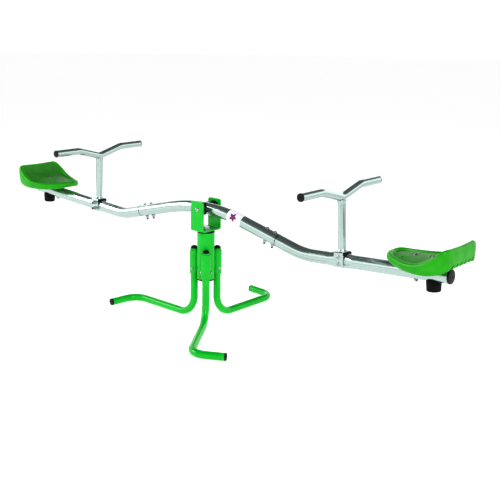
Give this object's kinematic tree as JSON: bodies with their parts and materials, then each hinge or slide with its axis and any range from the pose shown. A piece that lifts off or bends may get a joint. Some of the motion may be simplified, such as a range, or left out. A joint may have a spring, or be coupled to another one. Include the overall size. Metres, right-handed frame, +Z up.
{
  "type": "seesaw",
  "caption": "Garden seesaw with a bent silver beam, green saddle seats and T-handles, rocking and turning on a legged column.",
  "frame": {"origin": "on the ground under the axis of the column, with the beam level", "axes": "+Z up, +X along the level beam towards the seat on the labelled side, +Y across the beam"},
  "size_m": [2.1746, 0.747, 0.6377],
  "materials": {
    "green_powder_coat": "gloss powder coat",
    "silver_powder_coat": "metallic silver powder coat",
    "seat_plastic": "moulded, semi-gloss",
    "black_plastic": "moulded, satin",
    "black_rubber": "matt",
    "zinc_plated_steel": "bright zinc plate",
    "label_vinyl": "gloss vinyl"
  },
  "bodies": {
    "base": {"column_bush_lower": "black_plastic", "column_bush_upper": "black_plastic", "column_weldment": "green_powder_coat", "foot_cap_front": "black_plastic", "foot_cap_left": "black_plastic", "foot_cap_right": "black_plastic", "leg_bolts": "zinc_plated_steel", "leg_front": "green_powder_coat", "leg_left": "green_powder_coat", "leg_nuts": "zinc_plated_steel", "leg_right": "green_powder_coat", "leg_top_cap_front": "black_plastic", "leg_top_cap_left": "black_plastic", "leg_top_cap_right": "black_plastic"},
    "swivel": {"pivot_bolt": "zinc_plated_steel", "pivot_nut": "zinc_plated_steel", "pivot_nut_cap": "black_plastic", "spindle": "zinc_plated_steel", "spindle_nut": "zinc_plated_steel", "spindle_washer": "zinc_plated_steel", "yoke": "green_powder_coat"},
    "beam": {"bumper_left": "black_rubber", "bumper_right": "black_rubber", "centre_tube": "silver_powder_coat", "end_plug_left": "black_plastic", "end_plug_right": "black_plastic", "grip_plugs_left": "black_plastic", "grip_plugs_right": "black_plastic", "handle_bolts": "zinc_plated_steel", "handle_left": "silver_powder_coat", "handle_liner_left": "black_rubber", "handle_liner_right": "black_rubber", "handle_nuts": "zinc_plated_steel", "handle_right": "silver_powder_coat", "handle_thread_caps": "black_plastic", "joint_bolts": "zinc_plated_steel", "joint_nuts": "zinc_plated_steel", "joint_thread_caps": "black_plastic", "label": "label_vinyl", "outer_tube_left": "silver_powder_coat", "outer_tube_right": "silver_powder_coat", "pivot_sleeve": "zinc_plated_steel", "pivot_spacer_far": "black_plastic", "pivot_spacer_near": "black_plastic", "seat_bolts": "zinc_plated_steel", "seat_left": "seat_plastic", "seat_nuts": "zinc_plated_steel", "seat_right": "seat_plastic", "seat_washers": "zinc_plated_steel"}
  },
  "joints": [
    {"name": "column_turn", "type": "hinge", "parent": "base", "child": "swivel", "pos_m": [0, 0, 0.3], "axis": [0, 0, 1], "continuous": true},
    {"name": "beam_rock", "type": "hinge", "parent": "swivel", "child": "beam", "pos_m": [0, 0, 0.459], "axis": [0, 1, 0], "range_deg": [-20, 20]}
  ]
}
